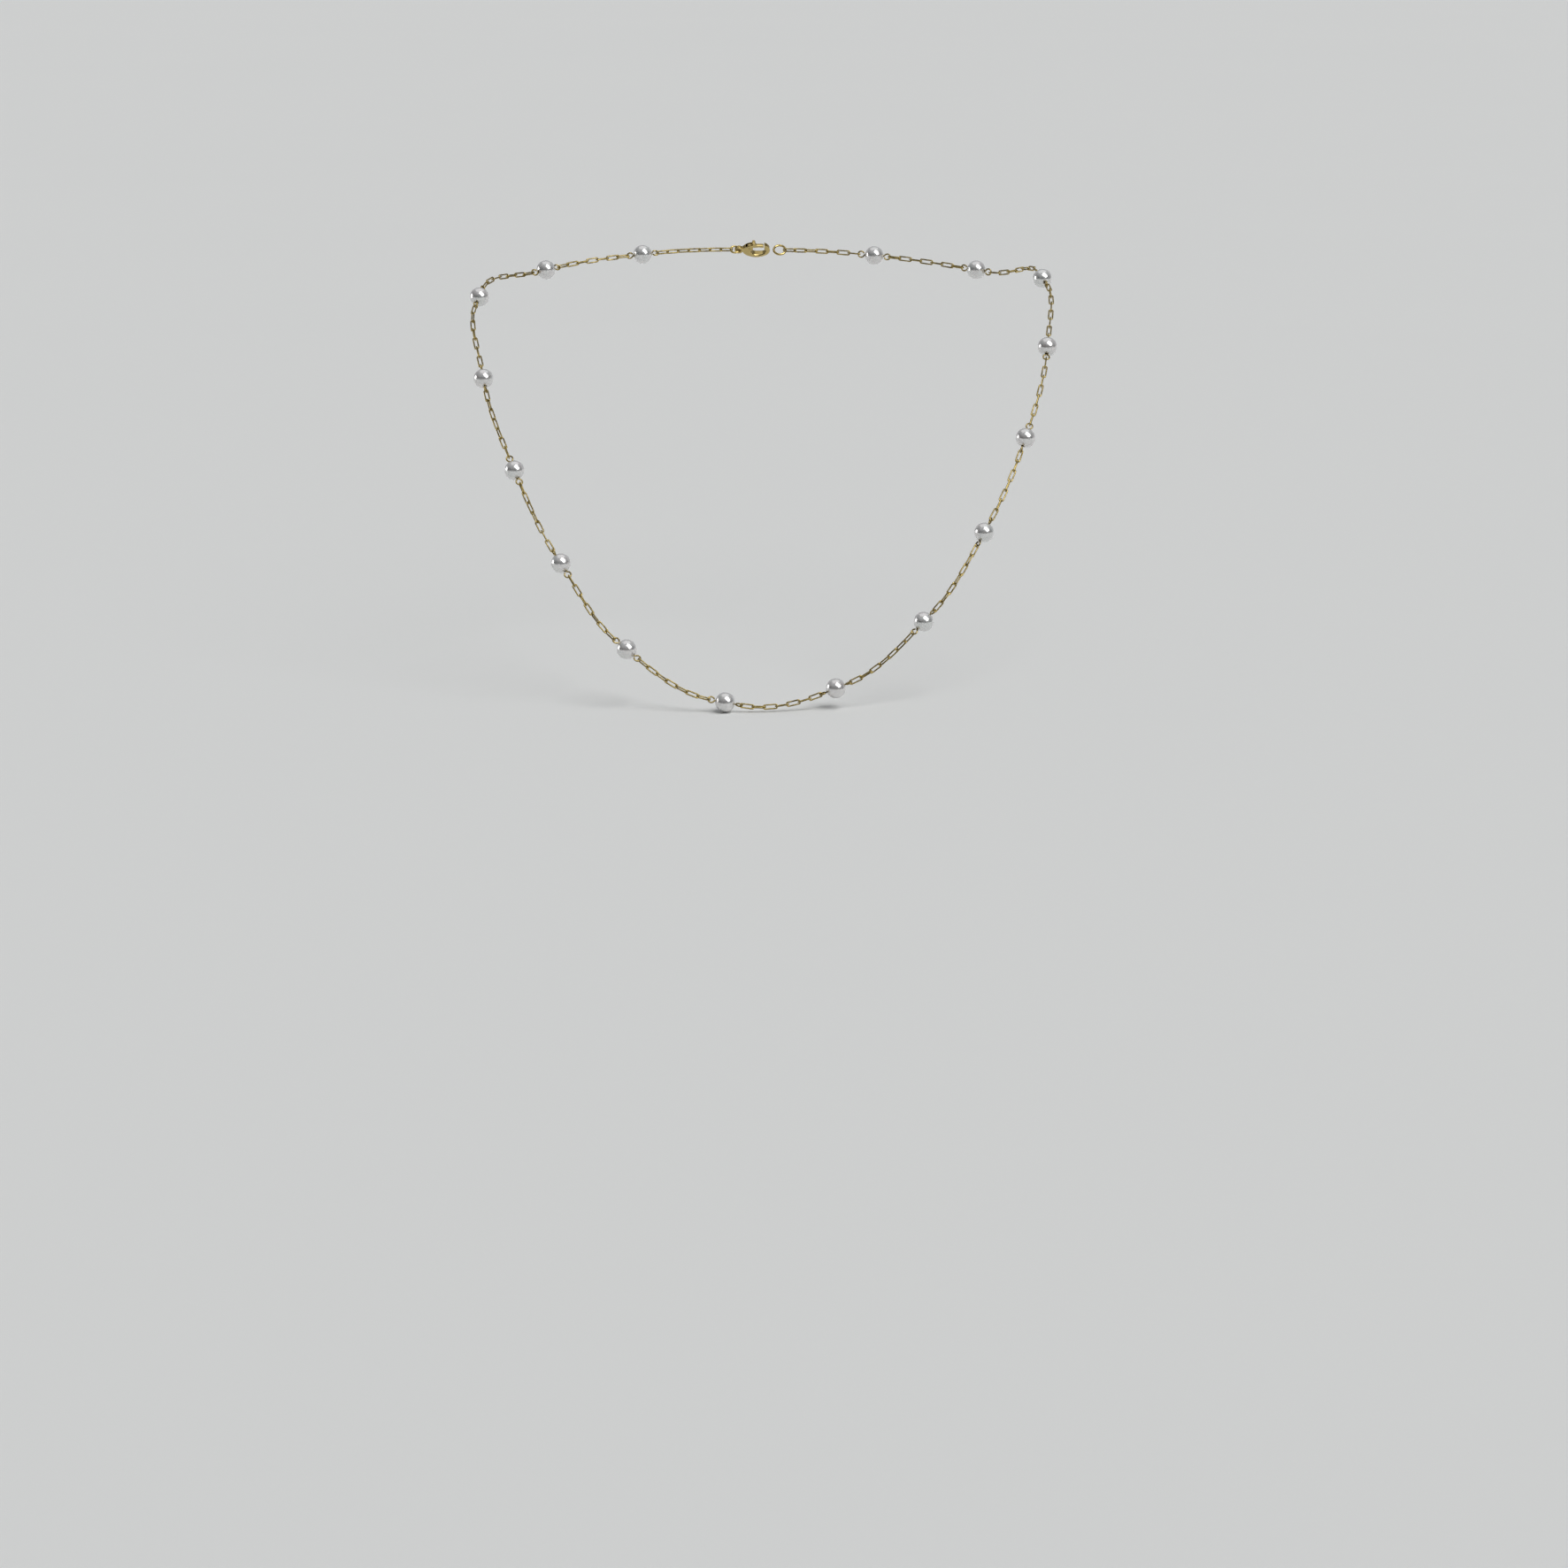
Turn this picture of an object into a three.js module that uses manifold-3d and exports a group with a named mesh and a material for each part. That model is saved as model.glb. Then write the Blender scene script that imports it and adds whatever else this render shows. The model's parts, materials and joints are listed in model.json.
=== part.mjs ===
// A pearl station necklace, draped as it is worn: sixteen pearls on gold eye pins, joined by runs of
// fine rectangular links, and closed at the nape by a lobster clasp and a ring.
// Millimetres. +Z is up, the wearer faces -Y, and the origin is the middle of the front run of links.
import * as THREE from "three";
import { mergeVertices } from "three/addons/utils/BufferGeometryUtils.js";
import Module from "manifold-3d";

const wasm = await Module();
wasm.setup();

// ---- driving dimensions ----------------------------------------------------------------------

// pearl on its eye pin
const PEARLS = 16;
const PEARL_RADIUS = 2.5;
const PEARL_HOLE_RADIUS = 0.4;
const PIN_RADIUS = 0.2;
const EYE_RADIUS = 0.8; // to the middle of the wire
const EYE_GAP = 0.05; // from an eye to the pearl
const EYE_SIDES = 12;

// run of links between two pearls
const LINKS = 7;
const LINK_WIRE = 0.38; // diameter of the round wire
const LINK_WIDTH = 1.4; // over the outside
const LINK_PITCH = 2.937;
const LINK_SINK = 0.04; // how far neighbouring links are sunk into each other, to make one body
const LINK_PLAY = 0.08; // between a link and the eye it hangs in

// rings at the two ends
const CLASP_RING = { radius: 1.15, wire: 0.5 };
const END_RING = { radius: 1.6, wire: 0.6 };

// lobster clasp: x runs from its eye to its nose, y across with the mouth at -y, z through it
const CLASP_THICKNESS = 2.0;
const CLASP_EYE = { hole: 0.6, rim: 1.15, thickness: 1.0 };
const CLAW = { neckX: 0.92, neckY: 0.69, waistX: 5.2, noseX: 8.4, halfWidth: 2.4 };
const CLAW_OPENING = { x: 5.35, y: 0.15, halfLength: 2.0, halfWidth: 1.25 };
const MOUTH = { from: 3.7, to: 6.8, top: -0.35 };
const SLOT = { from: 1.75, to: 6.0, top: 0.4, width: 1.1 };
const LEVER = { thickness: 0.8, gateTop: -1.0, gateBottom: -1.95, tipX: 6.65, tabY: -3.1 };
const RIVET = { x: 2.9, y: -1.15, radius: 0.3 };
const RIVET_CLEARANCE = 0.03; // round the rivet in the claw; twice this in the lever, which turns
const SPRING_WIDTH = 0.6;
const PAST_THE_FACE = 0.5; // how far a cutting tool runs past the face that it cuts

// The drape: the wire's middle line, from the nape down the wearer's right side, across the
// chest and up the left side. It lies on an evenly sloping chest and goes back over the shoulders.
const DRAPE = [
  [-4, 109.4, 100],
  [-27, 106.7, 100],
  [-49, 99.6, 98.5],
  [-68, 87.5, 96],
  [-79.4, 70.5, 92.8],
  [-77.3, 48.5, 74.2],
  [-68.5, 31, 53.4],
  [-56.1, 16, 32.2],
  [-39.5, 4.1, 13],
  [-14.3, -1.8, 0.6],
  [13.5, 2.2, 3.5],
  [35.6, 11.6, 18.8],
  [51.1, 24.2, 39.4],
  [62, 39.3, 61.1],
  [68.3, 58, 81.8],
  [67.8, 82.6, 96.2],
  [57, 99, 95],
  [39, 106.6, 97],
  [18, 109.5, 99],
];
const FRONT_PEARL_AT = 233.7; // arc length from the nape to the last pearl before the front run
const FRONT_PEARL = 8;

// The loop's plane leans back by this much from level; its normal points up and to the front.
const LOOP_NORMAL = new THREE.Vector3(0, -0.67, 0.74).normalize();

// How far the first link of each run is rolled about the chain, in degrees from face up.
const RUN_ROLLS = [90, 20, 70, 25, 20, 80, 95, 85, 10, 45, 45, 0, 90, 0, 60, 30, 50];

// How far each run is twisted from its first link to its last, in degrees.
const RUN_TWISTS = [0, 60, -40, -15, 70, -80, -15, 10, 35, 25, 0, 0, 0, 0, -20, 40, 40];

const EQUAL_SQUARE = Math.sqrt(Math.PI) / 2; // side of the square with the area of a 1 mm wire
const LINK_SIDE = LINK_WIRE * EQUAL_SQUARE;
const LINK_LENGTH = LINK_PITCH + 2 * LINK_SIDE - LINK_SINK;
const RUN_LENGTH = (LINKS - 1) * LINK_PITCH + LINK_LENGTH - LINK_SIDE; // between its end bars' middles
const EYE_CENTRE = PEARL_RADIUS + EYE_GAP + PIN_RADIUS + EYE_RADIUS;
const RING_SIDES = 16;
const PEARL_SIDES = 12;
const HALVINGS = 30; // steps of the search for the next place on the drape

// ---- materials -------------------------------------------------------------------------------

const pearlNacre = new THREE.MeshStandardMaterial({ color: 0xeceaea, roughness: 0.2, metalness: 0.0 });
const gold = new THREE.MeshStandardMaterial({ color: 0xd8b76a, roughness: 0.18, metalness: 1.0 });
const springSteel = new THREE.MeshStandardMaterial({ color: 0xb9b7b2, roughness: 0.3, metalness: 1.0 });

// ---- solids and meshes -----------------------------------------------------------------------

function solidOf(geometry) {
  const bare = geometry.clone();
  bare.deleteAttribute("normal");
  bare.deleteAttribute("uv");
  const merged = mergeVertices(bare, 1e-4);
  const vertProperties = new Float32Array(merged.attributes.position.array);
  const triVerts = new Uint32Array(merged.index.array);
  return new wasm.Manifold(new wasm.Mesh({ numProp: 3, vertProperties, triVerts }));
}

function geometryOf(solid) {
  const { vertProperties, triVerts } = solid.getMesh();
  const geometry = new THREE.BufferGeometry();
  geometry.setAttribute("position", new THREE.BufferAttribute(new Float32Array(vertProperties), 3));
  geometry.setIndex(new THREE.BufferAttribute(new Uint32Array(triVerts), 1));
  geometry.computeVertexNormals();
  return geometry;
}

function united(geometries) {
  return geometryOf(geometries.map(solidOf).reduce((sum, next) => sum.add(next)));
}

function cut(geometry, ...tools) {
  return geometryOf(tools.map(solidOf).reduce((left, tool) => left.subtract(tool), solidOf(geometry)));
}

function meshOf(name, geometry, material) {
  const mesh = new THREE.Mesh(geometry, material);
  mesh.name = name;
  return mesh;
}

const numbered = (name, number) => `${name}_${String(number).padStart(2, "0")}`;

// A ring of square wire round the Y axis, with the section area of round wire.
function ringGeometry(radius, wire, sides) {
  const half = (wire * EQUAL_SQUARE) / 2;
  const section = [
    new THREE.Vector2(radius - half, -half),
    new THREE.Vector2(radius + half, -half),
    new THREE.Vector2(radius + half, half),
    new THREE.Vector2(radius - half, half),
    new THREE.Vector2(radius - half, -half),
  ];
  return new THREE.LatheGeometry(section, sides);
}

// A flat plate cut to an outline, centred on z = 0.
function plateGeometry(shape, thickness, curveSegments) {
  const plate = new THREE.ExtrudeGeometry(shape, { depth: thickness, bevelEnabled: false, curveSegments });
  return plate.translate(0, 0, -thickness / 2);
}

// ---- the drape and the places along it -------------------------------------------------------

const drape = new THREE.CatmullRomCurve3(
  DRAPE.map((point) => new THREE.Vector3(...point)),
  true,
  "centripetal",
);
drape.arcLengthDivisions = 2000;
const drapeLength = drape.getLength();

// A place on the drape: its arc length, middle, direction, and how far off its link ends hang.
function placeAt(arc, reach) {
  const share = THREE.MathUtils.euclideanModulo(arc / drapeLength, 1);
  return { arc, reach, middle: drape.getPointAt(share), along: drape.getTangentAt(share).normalize() };
}

// The curve that a run of links follows from one place to the next.
function runCurve(from, to) {
  const start = from.middle.clone().addScaledVector(from.along, from.reach);
  const end = to.middle.clone().addScaledVector(to.along, -to.reach);
  const handle = start.distanceTo(end) / 3;
  return new THREE.CubicBezierCurve3(
    start,
    start.clone().addScaledVector(from.along, handle),
    end.clone().addScaledVector(to.along, -handle),
    end,
  );
}

// The next place, in the direction of sign, that leaves exactly one run of links between.
function nextPlace(from, sign, reach) {
  let near = RUN_LENGTH;
  let far = RUN_LENGTH + 2 * (from.reach + reach);
  for (let halving = 0; halving < HALVINGS; halving += 1) {
    const middle = (near + far) / 2;
    const to = placeAt(from.arc + sign * middle, reach);
    const run = sign > 0 ? runCurve(from, to) : runCurve(to, from);
    if (run.getLength() < RUN_LENGTH) near = middle;
    else far = middle;
  }
  return placeAt(from.arc + sign * far, reach);
}

const hangingReach = (centre, radius, wire) => centre + radius - (wire + LINK_WIRE) / 2 - LINK_PLAY;
const EYE_REACH = hangingReach(EYE_CENTRE, EYE_RADIUS, 2 * PIN_RADIUS);

const places = [];
places[FRONT_PEARL] = placeAt(FRONT_PEARL_AT, EYE_REACH);
for (let pearl = FRONT_PEARL - 1; pearl >= 1; pearl -= 1) {
  places[pearl] = nextPlace(places[pearl + 1], -1, EYE_REACH);
}
for (let pearl = FRONT_PEARL + 1; pearl <= PEARLS; pearl += 1) {
  places[pearl] = nextPlace(places[pearl - 1], 1, EYE_REACH);
}
const claspRingPlace = nextPlace(places[1], -1, hangingReach(0, CLASP_RING.radius, CLASP_RING.wire));
const endRingPlace = nextPlace(places[PEARLS], 1, hangingReach(0, END_RING.radius, END_RING.wire));

// A frame on the drape: Z along it, X out of the loop's plane, Y in the plane.
function frameAlong(along, roll) {
  const faceUp = LOOP_NORMAL.clone().addScaledVector(along, -LOOP_NORMAL.dot(along)).normalize();
  const inPlane = new THREE.Vector3().crossVectors(along, faceUp);
  const basis = new THREE.Matrix4().makeBasis(faceUp, inPlane, along);
  return basis.multiply(new THREE.Matrix4().makeRotationZ(roll));
}

function groupAt(place) {
  const group = new THREE.Group();
  group.position.copy(place.middle);
  group.quaternion.setFromRotationMatrix(frameAlong(place.along, 0));
  return group;
}

// The roll of one link of a run: each is a quarter turn on from the one before, and a share of the twist.
function linkRoll(run, link) {
  const twist = (RUN_TWISTS[run - 1] * link) / (LINKS - 1);
  return THREE.MathUtils.degToRad(RUN_ROLLS[run - 1] + 90 * link + twist);
}

// ---- pearls and eye pins ---------------------------------------------------------------------

// A drilled pearl round the Y axis, with its hole a little wider than the pin, so that it turns.
function pearlGeometry() {
  const steps = PEARL_SIDES / 2;
  const holeAngle = Math.asin(PEARL_HOLE_RADIUS / PEARL_RADIUS);
  const profile = [];
  for (let step = 0; step <= steps; step += 1) {
    const angle = holeAngle + ((Math.PI - 2 * holeAngle) * step) / steps;
    profile.push(new THREE.Vector2(PEARL_RADIUS * Math.sin(angle), -PEARL_RADIUS * Math.cos(angle)));
  }
  profile.push(profile[0].clone());
  return new THREE.LatheGeometry(profile, PEARL_SIDES);
}

// An eye pin along Z: a shaft with an eye at each end, each turned to suit the link that hangs in it.
function eyePinGeometry(firstRoll, secondRoll) {
  const shaftLength = 2 * (PEARL_RADIUS + EYE_GAP + PIN_RADIUS);
  const shaft = new THREE.CylinderGeometry(PIN_RADIUS, PIN_RADIUS, shaftLength, 6).rotateX(Math.PI / 2);
  const eye = (roll, z) =>
    ringGeometry(EYE_RADIUS, 2 * PIN_RADIUS, EYE_SIDES)
      .rotateZ(Math.PI / 2 + roll)
      .translate(0, 0, z);
  return united([shaft, eye(firstRoll, -EYE_CENTRE), eye(secondRoll, EYE_CENTRE)]);
}

function pearlStation(number) {
  const station = groupAt(places[number]);
  const pearl = meshOf(numbered("pearl", number), pearlGeometry().rotateX(Math.PI / 2), pearlNacre);
  // each eye is square to the link that hangs in it
  const firstEye = linkRoll(number, LINKS - 1) + Math.PI / 2;
  const secondEye = linkRoll(number + 1, 0) + Math.PI / 2;
  const pin = eyePinGeometry(firstEye, secondEye);
  station.add(pearl, meshOf(numbered("eye_pin", number), pin, gold));
  return station;
}

// ---- runs of links ---------------------------------------------------------------------------

// One rectangular link along Z, lying in the YZ plane and centred on the origin.
function linkGeometry() {
  const shape = new THREE.Shape();
  const halfWidth = LINK_WIDTH / 2;
  const halfLength = LINK_LENGTH / 2;
  shape.moveTo(-halfWidth, -halfLength);
  shape.lineTo(halfWidth, -halfLength);
  shape.lineTo(halfWidth, halfLength);
  shape.lineTo(-halfWidth, halfLength);
  const hole = new THREE.Path();
  hole.moveTo(-halfWidth + LINK_SIDE, -halfLength + LINK_SIDE);
  hole.lineTo(-halfWidth + LINK_SIDE, halfLength - LINK_SIDE);
  hole.lineTo(halfWidth - LINK_SIDE, halfLength - LINK_SIDE);
  hole.lineTo(halfWidth - LINK_SIDE, -halfLength + LINK_SIDE);
  shape.holes.push(hole);
  const outline = plateGeometry(shape, LINK_SIDE, 1);
  return outline.rotateX(Math.PI / 2).rotateZ(Math.PI / 2);
}

function chainRun(number, from, to) {
  const curve = runCurve(from, to);
  const middle = curve.getPointAt(0.5);
  const length = curve.getLength();
  const links = [];
  for (let link = 0; link < LINKS; link += 1) {
    const share = ((LINK_LENGTH - LINK_SIDE) / 2 + link * LINK_PITCH) / length;
    const placed = frameAlong(curve.getTangentAt(share).normalize(), linkRoll(number, link));
    placed.setPosition(curve.getPointAt(share).sub(middle));
    links.push(linkGeometry().applyMatrix4(placed));
  }
  const run = meshOf(numbered("chain", number), united(links), gold);
  run.position.copy(middle);
  return run;
}

// ---- clasp -----------------------------------------------------------------------------------

function discShape(x, y, radius) {
  const disc = new THREE.Shape();
  disc.absarc(x, y, radius, 0, 2 * Math.PI);
  return disc;
}

function boxBetween(low, high) {
  const size = new THREE.Vector3().subVectors(high, low);
  const middle = new THREE.Vector3().addVectors(low, high).multiplyScalar(0.5);
  return new THREE.BoxGeometry(size.x, size.y, size.z).translate(middle.x, middle.y, middle.z);
}

// The claw: a tail that widens into a hook, open on the -y side where the lever closes it.
function claspBodyGeometry() {
  const { neckX, neckY, waistX, noseX, halfWidth } = CLAW;
  const outline = new THREE.Shape();
  outline.moveTo(neckX, -neckY);
  outline.bezierCurveTo(2.4, -2.3, 4.2, -halfWidth, waistX, -halfWidth);
  outline.bezierCurveTo(7.2, -halfWidth, noseX, -1.4, noseX, 0);
  outline.bezierCurveTo(noseX, 1.6, 7.0, halfWidth, waistX, halfWidth);
  outline.bezierCurveTo(3.6, halfWidth, 2.2, 1.6, neckX, neckY);
  outline.lineTo(neckX, -neckY);
  const opening = new THREE.Shape();
  const { x, y, halfLength } = CLAW_OPENING;
  opening.absellipse(x, y, halfLength, CLAW_OPENING.halfWidth, 0, 2 * Math.PI);
  const tail = plateGeometry(discShape(0, 0, CLASP_EYE.rim), CLASP_EYE.thickness, 8);
  const claw = united([plateGeometry(outline, CLASP_THICKNESS, 5), tail]);
  const through = CLASP_THICKNESS + 2 * PAST_THE_FACE;
  const below = -halfWidth - PAST_THE_FACE;
  const mouth = boxBetween(
    new THREE.Vector3(MOUTH.from, below, -through / 2),
    new THREE.Vector3(MOUTH.to, MOUTH.top, through / 2),
  );
  const leverSlot = boxBetween(
    new THREE.Vector3(SLOT.from, below, -SLOT.width / 2),
    new THREE.Vector3(SLOT.to, SLOT.top, SLOT.width / 2),
  );
  return cut(
    claw,
    plateGeometry(opening, through, 6),
    mouth,
    leverSlot,
    plateGeometry(discShape(0, 0, CLASP_EYE.hole), through, 3),
    plateGeometry(discShape(RIVET.x, RIVET.y, RIVET.radius + RIVET_CLEARANCE), through, 3),
  );
}

// The lever: a hub round the rivet, a gate that closes the mouth and a thumb tab outside it.
function claspLeverGeometry() {
  const { thickness, gateTop, gateBottom, tipX, tabY } = LEVER;
  const hubX = RIVET.x - 0.7;
  const outline = new THREE.Shape();
  outline.moveTo(RIVET.x, gateTop + 0.5);
  outline.lineTo(RIVET.x + 0.7, gateTop + 0.1);
  outline.quadraticCurveTo(5.0, gateTop - 0.2, tipX, gateTop);
  outline.lineTo(tipX, gateBottom + 0.1);
  outline.lineTo(4.6, gateBottom);
  outline.lineTo(4.2, tabY + 0.1);
  outline.lineTo(3.5, tabY);
  outline.lineTo(3.2, gateBottom);
  outline.lineTo(hubX, RIVET.y - 0.35);
  outline.lineTo(hubX, RIVET.y + 0.3);
  outline.lineTo(RIVET.x, gateTop + 0.5);
  const holeRadius = RIVET.radius + 2 * RIVET_CLEARANCE;
  const hole = plateGeometry(discShape(RIVET.x, RIVET.y, holeRadius), thickness + 2 * PAST_THE_FACE, 3);
  return cut(plateGeometry(outline, thickness, 3), hole);
}

function claspRivetGeometry() {
  const rivet = new THREE.CylinderGeometry(RIVET.radius, RIVET.radius, CLASP_THICKNESS + 0.1, 8);
  return rivet.rotateX(Math.PI / 2).translate(RIVET.x, RIVET.y, 0);
}

// A bent leaf in the slot: one leg on the slot's end, the other over the back of the lever's hub.
function claspSpringGeometry() {
  const legX = SLOT.from + 0.1;
  const leaf = new THREE.Shape();
  leaf.moveTo(legX, 0.1);
  leaf.lineTo(legX, -0.9);
  leaf.lineTo(legX + 0.1, -0.9);
  leaf.lineTo(legX + 0.12, 0.0);
  leaf.lineTo(RIVET.x, -0.1);
  leaf.lineTo(RIVET.x, 0.02);
  return plateGeometry(leaf, SPRING_WIDTH, 1);
}

function clasp() {
  const group = new THREE.Group();
  const ring = claspRingPlace.middle.clone();
  const along = claspRingPlace.along.clone().negate();
  // the clasp's own z faces away from the neck, and its x runs on along the drape
  const across = LOOP_NORMAL.clone().addScaledVector(along, -LOOP_NORMAL.dot(along)).normalize().negate();
  const outward = new THREE.Vector3().crossVectors(along, across);
  group.quaternion.setFromRotationMatrix(new THREE.Matrix4().makeBasis(along, across, outward));
  group.position.copy(ring.addScaledVector(along, CLASP_RING.radius));
  group.add(
    meshOf("clasp_body", claspBodyGeometry(), gold),
    meshOf("clasp_lever", claspLeverGeometry(), gold),
    meshOf("clasp_rivet", claspRivetGeometry(), gold),
    meshOf("clasp_spring", claspSpringGeometry(), springSteel),
  );
  return group;
}

// A ring lying in the loop's plane.
function ringAt(name, place, ring) {
  const group = groupAt(place);
  group.add(meshOf(name, ringGeometry(ring.radius, ring.wire, RING_SIDES).rotateZ(Math.PI / 2), gold));
  return group;
}

// ---- assembly --------------------------------------------------------------------------------

const necklace = new THREE.Group();
for (let number = 1; number <= PEARLS; number += 1) {
  necklace.add(pearlStation(number));
}
necklace.add(chainRun(1, claspRingPlace, places[1]));
for (let number = 2; number <= PEARLS; number += 1) {
  necklace.add(chainRun(number, places[number - 1], places[number]));
}
necklace.add(chainRun(PEARLS + 1, places[PEARLS], endRingPlace));
necklace.add(ringAt("clasp_ring", claspRingPlace, CLASP_RING));
necklace.add(ringAt("end_ring", endRingPlace, END_RING));
necklace.add(clasp());

// the middle of the front run is the part's origin
const frontMiddle = runCurve(places[FRONT_PEARL], places[FRONT_PEARL + 1]).getPointAt(0.5);
necklace.position.copy(frontMiddle).negate();

const part = new THREE.Group();
part.add(necklace);

export default part;
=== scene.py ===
"""The looks of a pearl station necklace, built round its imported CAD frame.

Sixteen imitation pearls sit on bent wire eye pins. Runs of seven separate wire links join them,
and a cast lobster claw with a jump ring and a catch ring closes the loop at the nape.
Everything is in metres, in the row frame: +Z is up and the wearer faces -Y.
"""

import json
import math

import bmesh
import bpy
from mathutils import Matrix, Vector, noise


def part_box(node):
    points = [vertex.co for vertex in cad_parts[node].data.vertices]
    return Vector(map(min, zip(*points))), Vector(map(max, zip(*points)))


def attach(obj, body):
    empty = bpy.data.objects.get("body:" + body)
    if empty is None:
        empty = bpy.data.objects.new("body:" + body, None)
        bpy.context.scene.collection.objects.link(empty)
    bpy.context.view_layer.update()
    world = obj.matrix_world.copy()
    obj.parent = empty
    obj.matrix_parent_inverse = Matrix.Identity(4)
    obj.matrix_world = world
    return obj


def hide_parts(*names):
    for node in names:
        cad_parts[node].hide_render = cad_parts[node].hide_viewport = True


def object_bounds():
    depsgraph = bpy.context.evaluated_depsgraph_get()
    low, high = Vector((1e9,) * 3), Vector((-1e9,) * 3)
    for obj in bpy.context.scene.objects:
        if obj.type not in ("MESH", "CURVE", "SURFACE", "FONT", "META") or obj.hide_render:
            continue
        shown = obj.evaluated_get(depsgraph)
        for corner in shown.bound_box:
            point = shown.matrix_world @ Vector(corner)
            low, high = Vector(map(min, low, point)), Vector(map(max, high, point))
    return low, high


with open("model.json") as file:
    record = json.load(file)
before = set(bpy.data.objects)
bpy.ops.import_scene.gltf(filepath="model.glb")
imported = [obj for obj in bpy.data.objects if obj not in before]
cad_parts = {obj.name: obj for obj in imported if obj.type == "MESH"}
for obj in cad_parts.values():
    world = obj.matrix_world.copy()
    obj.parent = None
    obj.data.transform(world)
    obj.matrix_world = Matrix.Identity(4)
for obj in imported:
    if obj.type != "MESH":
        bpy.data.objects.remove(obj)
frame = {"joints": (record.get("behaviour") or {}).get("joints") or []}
cad_low, cad_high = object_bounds()

# ---- driving dimensions, the same as in the CAD part ------------------------------------------

MM = 0.001

PEARLS = 16
PEARL_RADIUS = 2.5 * MM
PEARL_HOLE_RADIUS = 0.4 * MM
PIN_RADIUS = 0.2 * MM
EYE_RADIUS = 0.8 * MM  # to the middle of the wire
EYE_GAP = 0.05 * MM  # from an eye to the pearl

LINKS = 7
LINK_WIRE_RADIUS = 0.19 * MM
LINK_WIDTH = 1.4 * MM  # over the outside
LINK_PLAY = 0.08 * MM  # between a link and the eye or ring it hangs in

CLASP_RING_RADIUS = 1.15 * MM
CLASP_RING_WIRE_RADIUS = 0.25 * MM
END_RING_RADIUS = 1.6 * MM
END_RING_WIRE_RADIUS = 0.3 * MM

# The CAD part's plain links have square corners and are sunk into each other. These don't.
LINK_CORNER = 0.31 * MM  # radius of the wire's middle at a corner
LINK_CLEARANCE = 0.01 * MM  # between neighbouring links

# The loop's plane leans back by this much from level; its normal points up and to the front.
LOOP_NORMAL = Vector((0, -0.67, 0.74)).normalized()

# How far the first link of each run is rolled about the chain, in degrees from face up.
RUN_ROLLS = [90, 20, 70, 25, 20, 80, 95, 85, 10, 45, 45, 0, 90, 0, 60, 30, 50]

# How far each run is twisted from its first link to its last, in degrees.
RUN_TWISTS = [0, 60, -40, -15, 70, -80, -15, 10, 35, 25, 0, 0, 0, 0, -20, 40, 40]

FRONT_RUN = 9  # the run whose middle is held, so that everything else hangs from it

# Lobster clasp, in the clasp's own frame: x runs from its eye to its nose, z through it, and the
# mouth is on the -y side.
CLASP_THICKNESS = 2.0 * MM
TAIL_RIM = 1.15 * MM
TAIL_HOLE = 0.6 * MM
TAIL_THICKNESS = 1.0 * MM
RIVET_MIDDLE = Vector((2.9, -1.15, 0)) * MM
RIVET_HOLE = 0.33 * MM
LEVER_THICKNESS = 0.8 * MM
LEVER_HOLE = 0.36 * MM

# ---- places along the necklace, read from the frame's joints ----------------------------------

JOINTS = {joint["name"]: joint for joint in frame["joints"]}


def joint_place(name):
    """A joint's position and its axis."""
    joint = JOINTS[name]
    return Vector(joint["pos_m"]), Vector(joint["axis"]).normalized()


def box_middle(node):
    """The middle of a CAD node's box."""
    low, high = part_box(node)
    return (low + high) / 2


def basis_along(along, roll, origin):
    """A frame with Z along the chain and X out of the loop's plane, rolled about Z."""
    face_up = (LOOP_NORMAL - along * LOOP_NORMAL.dot(along)).normalized()
    in_plane = along.cross(face_up)
    axes = Matrix((face_up, in_plane, along)).transposed().to_4x4()
    return Matrix.Translation(origin) @ axes @ Matrix.Rotation(roll, 4, "Z")


def link_roll(run, link):
    """A link's roll in radians: a quarter turn on from the one before, and a share of the twist."""
    return math.radians(RUN_ROLLS[run - 1] + 90 * link + RUN_TWISTS[run - 1] * link / (LINKS - 1))


# ---- wire and mesh helpers ---------------------------------------------------------------------

WEAR_AND_HOLE_SHADE = "wear"  # a point's share of rubbing, 0 to 1, which the materials read; on a pearl, its share of bare core and painted shade in and round the drill hole


def object_of(name, bm, material):
    """A smooth-shaded object with the mesh bm and one material."""
    bmesh.ops.recalc_face_normals(bm, faces=bm.faces)
    mesh = bpy.data.meshes.new(name)
    bm.to_mesh(mesh)
    bm.free()
    for polygon in mesh.polygons:
        polygon.use_smooth = True
    mesh.materials.append(material)
    made = bpy.data.objects.new(name, mesh)
    bpy.context.scene.collection.objects.link(made)
    return made


def new_bmesh():
    """An empty bmesh whose points carry the wear attribute."""
    bm = bmesh.new()
    bm.verts.layers.float.new(WEAR_AND_HOLE_SHADE)
    return bm


def path_tangent(points, index, closed):
    """The direction of a path at one of its points."""
    count = len(points)
    if closed:
        return (points[(index + 1) % count] - points[index - 1]).normalized()
    return (points[min(index + 1, count - 1)] - points[max(index - 1, 0)]).normalized()


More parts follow.
